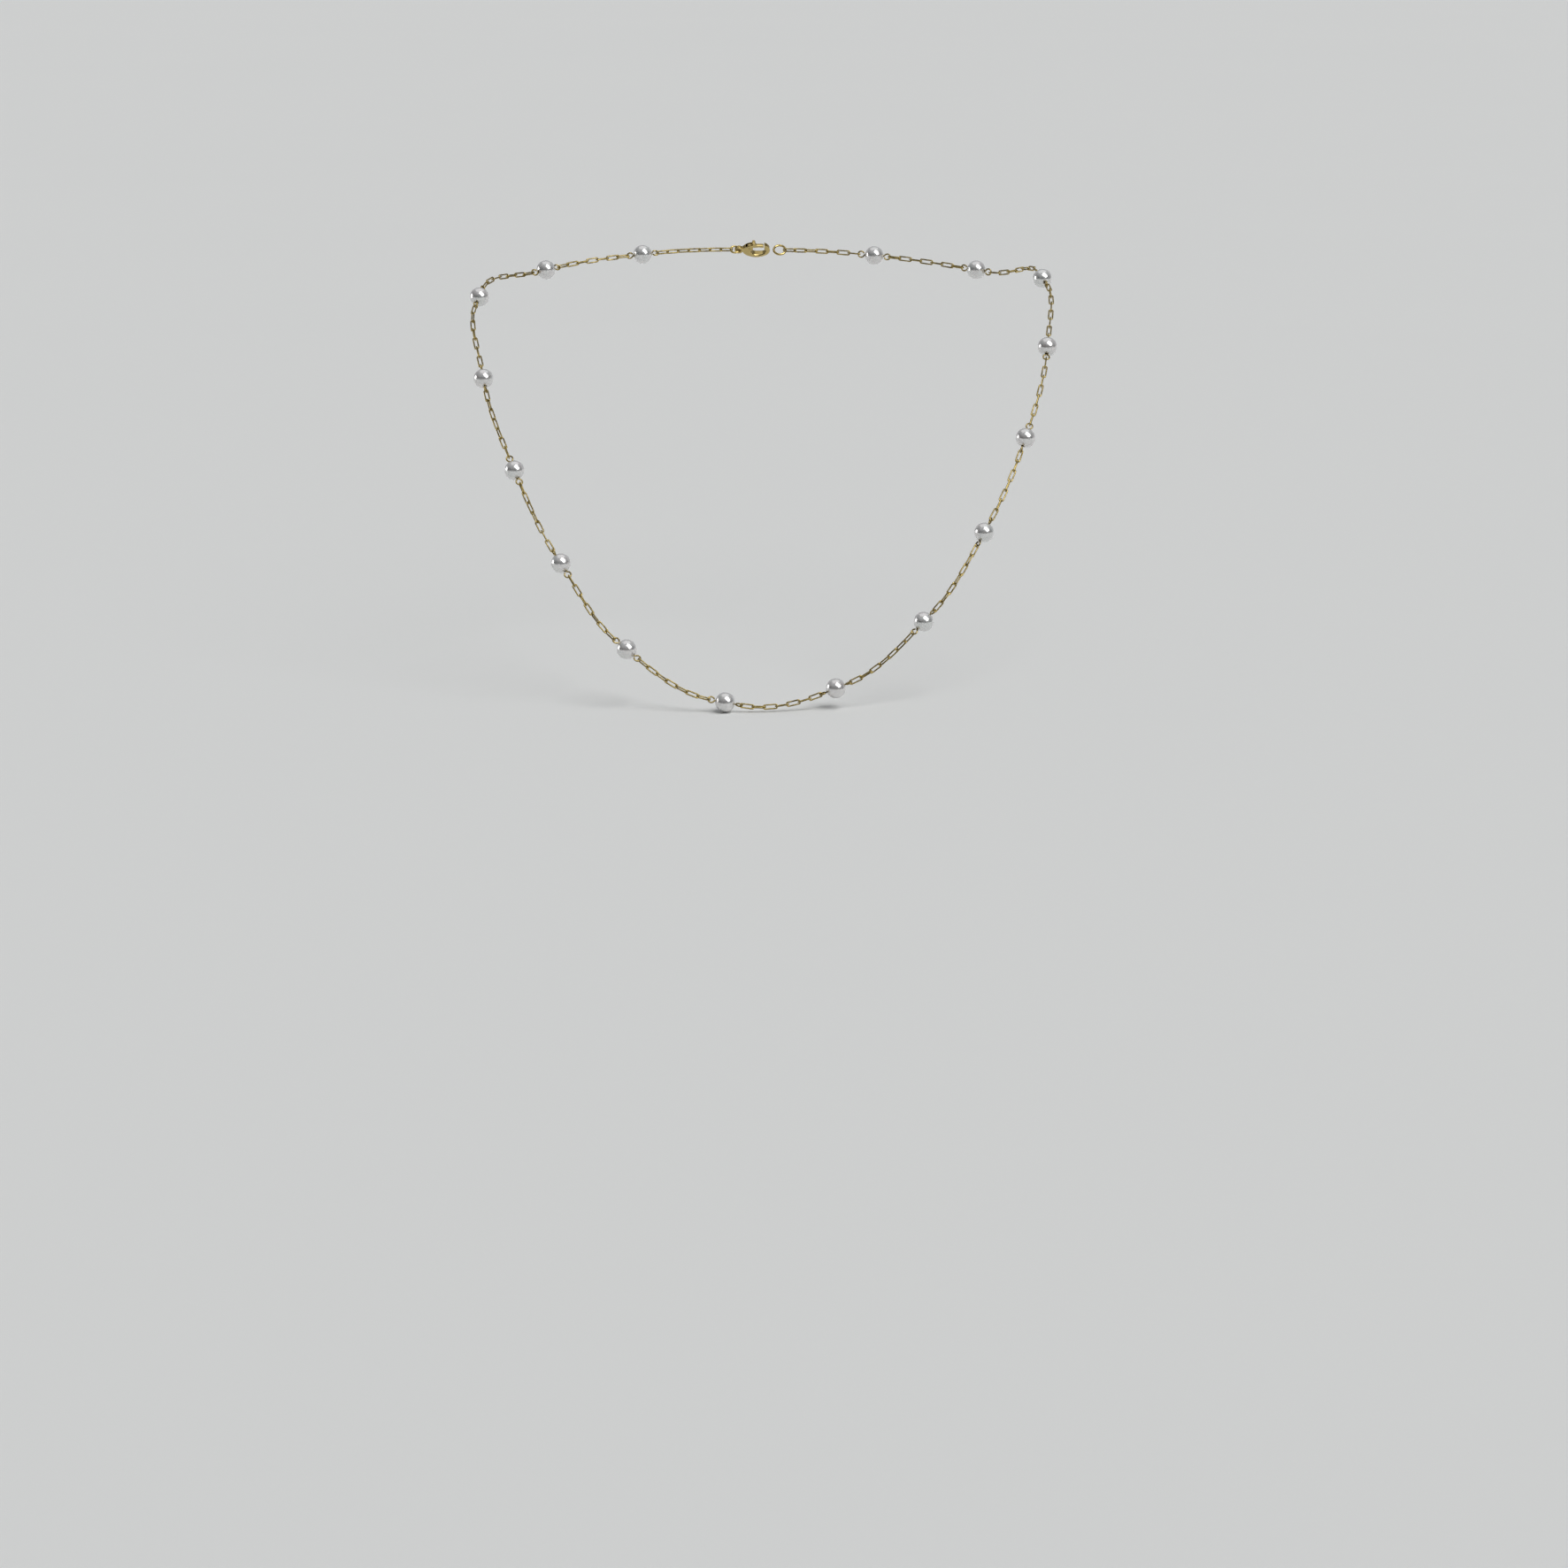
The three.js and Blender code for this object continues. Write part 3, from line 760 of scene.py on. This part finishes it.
def plate_object(outline, thickness):
    """A scratch plate with an outline, centred on z = 0."""
    bm = bmesh.new()
    lift = Vector((0, 0, thickness / 2))
    bottom = [bm.verts.new(point - lift) for point in outline]
    top = [bm.verts.new(point + lift) for point in outline]
    bm.faces.new(list(reversed(bottom)))
    bm.faces.new(top)
    join_rings(bm, bottom, top)
    bmesh.ops.recalc_face_normals(bm, faces=bm.faces)
    mesh = bpy.data.meshes.new("scratch_plate")
    bm.to_mesh(mesh)
    bm.free()
    plate = bpy.data.objects.new("scratch_plate", mesh)
    bpy.context.scene.collection.objects.link(plate)
    return plate


def sculpted_bmesh(base, joined, cutters):
    """base joined with some plates and cut by others, remeshed finely. The plates are used up."""
    for tools, operation in ((joined, "UNION"), (cutters, "DIFFERENCE")):
        for tool in tools:
            modifier = base.modifiers.new(operation, "BOOLEAN")
            modifier.operation = operation
            modifier.solver = "EXACT"
            modifier.object = tool
    remesh = base.modifiers.new("remesh", "REMESH")
    remesh.mode = "VOXEL"
    remesh.voxel_size = CLASP_VOXEL
    evaluated = base.evaluated_get(bpy.context.evaluated_depsgraph_get())
    mesh = bpy.data.meshes.new_from_object(evaluated)
    bm = new_bmesh()
    bm.from_mesh(mesh)
    bpy.data.meshes.remove(mesh)
    for plate in (base, *joined, *cutters):
        bpy.data.objects.remove(plate)
    return bm


def smooth_step(low, high, value):
    """0 below low, 1 above high, and a smooth ramp between."""
    share = min(max((value - low) / (high - low), 0), 1)
    return share * share * (3 - 2 * share)


def ellipse_level(x, y, ellipse):
    """1 on an ellipse, less inside it and more outside."""
    along = (x - ellipse["middle"][0]) / ellipse["half_length"]
    across = (y - ellipse["middle"][1]) / ellipse["half_width"]
    return math.hypot(along, across)


def claw_half_thickness(x, y):
    """How far the claw's crowned face stands from its middle plane, in millimetres. The face falls
    away towards the opening and towards the outside."""
    half = CLAW_THICKNESS / 2
    thin = TAIL_THICKNESS / MM / 2
    at_neck = thin + (half - thin) * smooth_step(NECK_START, NECK_FULL, x)
    at_nose = half - NOSE_THINNING * smooth_step(NOSE_START, NOSE_END, x)
    from_opening = max(ellipse_level(x, y, CLAW_OPENING) - 1, 0)
    from_outside = max(1 - ellipse_level(x, y, CLAW_ROUND), 0)
    share = from_opening / (from_opening + from_outside + TINY)
    crown = CLAW_CROWN * smooth_step(CROWN_START, CROWN_FULL, x) * abs(2 * share - 1) ** 3
    return min(at_neck, at_nose) * (1 - crown)


def finish_clasp_piece(name, bm, half_thickness, body, node):
    """Crowns, tumbles and places a sculpted piece of the clasp."""
    for vertex in bm.verts:
        limit = half_thickness(vertex.co.x, vertex.co.y)
        vertex.co.z = min(max(vertex.co.z, -limit), limit)
    for _ in range(TUMBLING):
        bmesh.ops.smooth_vert(
            bm, verts=bm.verts, factor=TUMBLING_SHARE, use_axis_x=True, use_axis_y=True, use_axis_z=True
        )
    layer = bm.verts.layers.float[WEAR_AND_HOLE_SHADE]
    for vertex in bm.verts:
        limit = half_thickness(vertex.co.x, vertex.co.y)
        vertex[layer] = smooth_step(POLISHED_FROM, POLISHED_FULLY, abs(vertex.co.z) / limit)
    bmesh.ops.transform(bm, matrix=CLASP_FRAME @ Matrix.Scale(MM, 4), verts=bm.verts)
    piece = object_of(name, bm, CLASP_GOLD)
    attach(piece, body)
    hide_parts(node)


def claw_body():
    """The cast claw: an eye at its tail, a hook round the opening, and a slot for the lever."""
    tail = plate_object(disc_outline((0, 0), TAIL_RIM), TAIL_THICKNESS / MM)
    opening = ellipse_outline(
        CLAW_OPENING["middle"], CLAW_OPENING["half_length"], CLAW_OPENING["half_width"]
    )
    cutters = [
        plate_object(opening, CUTTER_LENGTH),
        plate_object(box_outline(CLAW_MOUTH["low"], CLAW_MOUTH["high"]), CUTTER_LENGTH),
        plate_object(box_outline(LEVER_SLOT["low"], LEVER_SLOT["high"]), LEVER_SLOT["width"]),
        plate_object(disc_outline((0, 0), TAIL_HOLE), CUTTER_LENGTH),
        plate_object(disc_outline(RIVET_PLACE, RIVET_HOLE), CUTTER_LENGTH),
    ]
    hook = plate_object(curved_outline(CLAW_BACK), CLAW_THICKNESS)
    bm = sculpted_bmesh(hook, [tail], cutters)
    finish_clasp_piece("claw_body", bm, claw_half_thickness, "clasp", "clasp_body")


def lever_half_thickness(x, y):
    """The lever is flat, but for its wider thumb tab."""
    wide = THUMB_TAB["thickness"] / 2
    flat = LEVER_THICKNESS / MM / 2
    return flat + (wide - flat) * smooth_step(-TAB_START, -TAB_FULL, -y)


def claw_lever():
    """The lever: a hub round the rivet, a gate across the mouth, and a thumb tab."""
    tab = plate_object(box_outline(THUMB_TAB["low"], THUMB_TAB["high"]), THUMB_TAB["thickness"])
    hole = plate_object(disc_outline(RIVET_PLACE, LEVER_HOLE), CUTTER_LENGTH)
    gate = plate_object(curved_outline(LEVER_OUTLINE), LEVER_THICKNESS / MM)
    bm = sculpted_bmesh(gate, [tab], [hole])
    finish_clasp_piece("claw_lever", bm, lever_half_thickness, "clasp_lever", "clasp_lever")


RIVET_SIDES = 28
# A head's half section from its tip to the shaft, as (distance from the axis, height) pairs in mm.
RIVET_SECTION = [(0.0, 1.08), (0.16, 1.065), (0.27, 1.02), (0.34, 0.96), (0.34, 0.93), (0.3, 0.92)]
HEAD_FOOT, HEAD_CROWN = 0.93, 1.06  # heights between which a head grows brighter


def claw_rivet():
    """The rivet: a plain shaft with a low domed head on each face of the claw."""
    upper = RIVET_SECTION[1:]
    lower = [(distance, -height) for distance, height in reversed(upper)]
    middle = CLASP_FRAME @ Matrix.Translation(RIVET_MIDDLE)
    bm = new_bmesh()
    layer = bm.verts.layers.float[WEAR_AND_HOLE_SHADE]
    rings = []
    for distance, height in upper + lower:
        ring = []
        for side in range(RIVET_SIDES):
            angle = 2 * math.pi * side / RIVET_SIDES
            local = Vector((distance * math.cos(angle), distance * math.sin(angle), height)) * MM
            vertex = bm.verts.new(middle @ local)
            vertex[layer] = smooth_step(HEAD_FOOT, HEAD_CROWN, abs(height))
            ring.append(vertex)
        rings.append(ring)
    for ring, other in zip(rings, rings[1:]):
        join_rings(bm, ring, other)
    for ring, sign in ((rings[0], 1), (rings[-1], -1)):
        tip = bm.verts.new(middle @ Vector((0, 0, sign * RIVET_SECTION[0][1] * MM)))
        tip[layer] = 1.0
        for side in range(RIVET_SIDES):
            bm.faces.new((ring[side], ring[(side + 1) % RIVET_SIDES], tip))
    rivet = object_of("claw_rivet", bm, CLASP_GOLD)
    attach(rivet, "clasp")
    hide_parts("clasp_rivet")


# The spring's middle line in the clasp's frame, from the slot's wall to the lever's hub, in mm.
LEAF_PATH = [(1.9, -0.88), (1.905, -0.6), (1.91, -0.3), (1.92, -0.1), (1.96, -0.02), (2.05, 0.0),
             (2.3, -0.01), (2.6, -0.025), (2.88, -0.04)]
LEAF_HALF_THICKNESS = 0.05
LEAF_HALF_WIDTH = 0.3
LEAF_EDGE = 0.025  # chamfer of the leaf's long edges


def leaf_section():
    """The leaf's chamfered cross-section as (across its thickness, along z) pairs."""
    thick, wide, edge = LEAF_HALF_THICKNESS, LEAF_HALF_WIDTH, LEAF_EDGE
    return [
        (thick, -wide + edge), (thick, wide - edge), (thick - edge, wide), (edge - thick, wide),
        (-thick, wide - edge), (-thick, edge - wide), (edge - thick, -wide), (thick - edge, -wide),
    ]


def claw_spring():
    """The bent leaf spring that pushes the lever shut."""
    path = [Vector((x, y, 0)) for x, y in LEAF_PATH]
    through = Vector((0, 0, 1))
    bm = new_bmesh()
    rings = []
    for index, point in enumerate(path):
        sideways = path_tangent(path, index, False).cross(through)
        ring = []
        for thick, wide in leaf_section():
            local = point + sideways * thick + through * wide
            ring.append(bm.verts.new(CLASP_FRAME @ (local * MM)))
        rings.append(ring)
    for ring, other in zip(rings, rings[1:]):
        join_rings(bm, ring, other)
    bm.faces.new(rings[0])
    bm.faces.new(rings[-1])
    leaf = object_of("claw_spring", bm, SPRING_STEEL)
    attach(leaf, "clasp")
    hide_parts("clasp_spring")


# ---- camera, light and floor ---------------------------------------------------------------------

CAMERA_ELEVATION = math.radians(15)
CAMERA_AIM = Vector((0.50, -5.87, -18.71)) * MM
CAMERA_DISTANCE = 0.9
CAMERA_LENS = 83.0
SENSOR_WIDTH = 36.0


def make_camera():
    """The main camera: square on to the wearer's chest, from a little above."""
    away = Vector((0, -math.cos(CAMERA_ELEVATION), math.sin(CAMERA_ELEVATION)))
    data = bpy.data.cameras.new("camera")
    data.lens = CAMERA_LENS
    data.sensor_width = SENSOR_WIDTH
    data.clip_start = 0.01
    data.clip_end = 100.0
    camera = bpy.data.objects.new("camera", data)
    camera.location = CAMERA_AIM + away * CAMERA_DISTANCE
    camera.rotation_mode = "QUATERNION"
    camera.rotation_quaternion = (-away).to_track_quat("-Z", "Y")
    bpy.context.scene.collection.objects.link(camera)
    bpy.context.scene.camera = camera


LIGHT_AIM = (cad_low + cad_high) / 2

# Each softbox: name, direction from the necklace, distance, size, watts and tilt in degrees.
SOFTBOXES = [
    ("key_window", (0.46, -0.526, 0.71), 1.2, (0.72, 1.2), 10.5, 22),
    ("left_window", (-0.961, 0.265, 0.07), 1.2, (0.6, 0.6), 3.4, 0),
    ("overhead", (0.0, 0.25, 1.0), 1.6, (1.8, 1.6), 4.2, 0),
]
FILL_STRENGTH = 1.9
FILL_SPREAD = math.radians(50)
FILL_DIRECTION = Vector((-0.4, 0.35, -0.85))

STUDIO_TINT = (0.97, 0.98, 1.0, 1.0)
BACKDROP_TINT = (0.99, 1.0, 0.99, 1.0)
BACKDROP_STRENGTH = 0.62
DIM_STRENGTH = 0.01  # of the studio in front of the necklace
BEHIND_STRENGTH = 0.4
ABOVE_STRENGTH = 0.3


def add_softbox(name, direction, distance, size, watts, tilt):
    """A rectangular soft light that faces the necklace. It makes the window-like reflections, and
    the even fill does the rest."""
    data = bpy.data.lights.new(name, "AREA")
    data.shape = "RECTANGLE"
    data.size, data.size_y = size
    data.energy = watts
    light = bpy.data.objects.new(name, data)
    towards = Vector(direction).normalized()
    light.location = LIGHT_AIM + towards * distance
    facing = (-towards).to_track_quat("-Z", "Y").to_matrix().to_4x4()
    turned = facing @ Matrix.Rotation(math.radians(tilt), 4, "Z")
    light.rotation_mode = "QUATERNION"
    light.rotation_quaternion = turned.to_quaternion()
    light.visible_diffuse = False
    bpy.context.scene.collection.objects.link(light)


def add_even_fill():
    """Even soft light over the necklace and the whole floor, which no reflection shows."""
    data = bpy.data.lights.new("even_fill", "SUN")
    data.energy = FILL_STRENGTH
    data.angle = FILL_SPREAD
    light = bpy.data.objects.new("even_fill", data)
    light.rotation_mode = "QUATERNION"
    light.rotation_quaternion = FILL_DIRECTION.to_track_quat("-Z", "Y")
    light.visible_glossy = False
    bpy.context.scene.collection.objects.link(light)


def make_world():
    """A pale backdrop beyond the floor. The studio that lights the necklace and shows in its
    reflections is pale behind it and above it, and dim in front."""
    world = bpy.data.worlds.new("studio")
    world.use_nodes = True
    tree = world.node_tree
    where = tree.nodes.new("ShaderNodeTexCoord")
    parts = tree.nodes.new("ShaderNodeSeparateXYZ")
    tree.links.new(where.outputs["Generated"], parts.inputs["Vector"])
    behind = mapped_range(tree, parts.outputs["Y"], 0.0, 0.7, DIM_STRENGTH, BEHIND_STRENGTH)
    above = mapped_range(tree, parts.outputs["Z"], 0.3, 0.75, DIM_STRENGTH, ABOVE_STRENGTH)
    lighter = tree.nodes.new("ShaderNodeMath")
    lighter.operation = "MAXIMUM"
    tree.links.new(behind, lighter.inputs[0])
    tree.links.new(above, lighter.inputs[1])
    studio = tree.nodes["Background"]
    studio.inputs["Color"].default_value = STUDIO_TINT
    tree.links.new(lighter.outputs["Value"], studio.inputs["Strength"])
    backdrop = tree.nodes.new("ShaderNodeBackground")
    backdrop.inputs["Color"].default_value = BACKDROP_TINT
    backdrop.inputs["Strength"].default_value = BACKDROP_STRENGTH
    path = tree.nodes.new("ShaderNodeLightPath")
    mix = tree.nodes.new("ShaderNodeMixShader")
    tree.links.new(path.outputs["Is Camera Ray"], mix.inputs["Fac"])
    tree.links.new(studio.outputs["Background"], mix.inputs[1])
    tree.links.new(backdrop.outputs["Background"], mix.inputs[2])
    tree.links.new(mix.outputs["Shader"], tree.nodes["World Output"].inputs["Surface"])
    bpy.context.scene.world = world


FLOOR_HALF_SIDE = 12.0
FLOOR_CELLS = 8
FLOOR_GAP = 0.15 * MM  # between the floor and the lowest pearl


def make_floor():
    """A wide, plain, pale floor just under the lowest pearl."""
    bm = bmesh.new()
    bmesh.ops.create_grid(bm, x_segments=FLOOR_CELLS, y_segments=FLOOR_CELLS, size=FLOOR_HALF_SIDE)
    mesh = bpy.data.meshes.new("floor")
    bm.to_mesh(mesh)
    bm.free()
    mesh.materials.append(floor_material())
    floor = bpy.data.objects.new("floor", mesh)
    floor.location = (0, 0, cad_low.z - FLOOR_GAP)
    bpy.context.scene.collection.objects.link(floor)


# ---- assembly ------------------------------------------------------------------------------------

make_camera()
for number in range(1, PEARLS + 1):
    pearl_bead(number)
    eye_pin(number)
for number, (start, end) in enumerate(run_ends(), start=1):
    link_run(number, start, end)
split_ring(
    "claw_jump_ring", "clasp_ring", "clasp_ring", CLASP_RING_RADIUS, CLASP_RING_WIRE_RADIUS,
    "clasp_ring_swing", CLASP_RING_SPLIT_AT,
)
split_ring(
    "catch_ring", "end_ring", "end_ring", END_RING_RADIUS, END_RING_WIRE_RADIUS,
    "end_ring_swing", END_RING_SPLIT_AT,
)
claw_body()
claw_lever()
claw_rivet()
claw_spring()

make_world()
add_even_fill()
for softbox in SOFTBOXES:
    add_softbox(*softbox)
bpy.context.scene.view_settings.view_transform = "Standard"
make_floor()
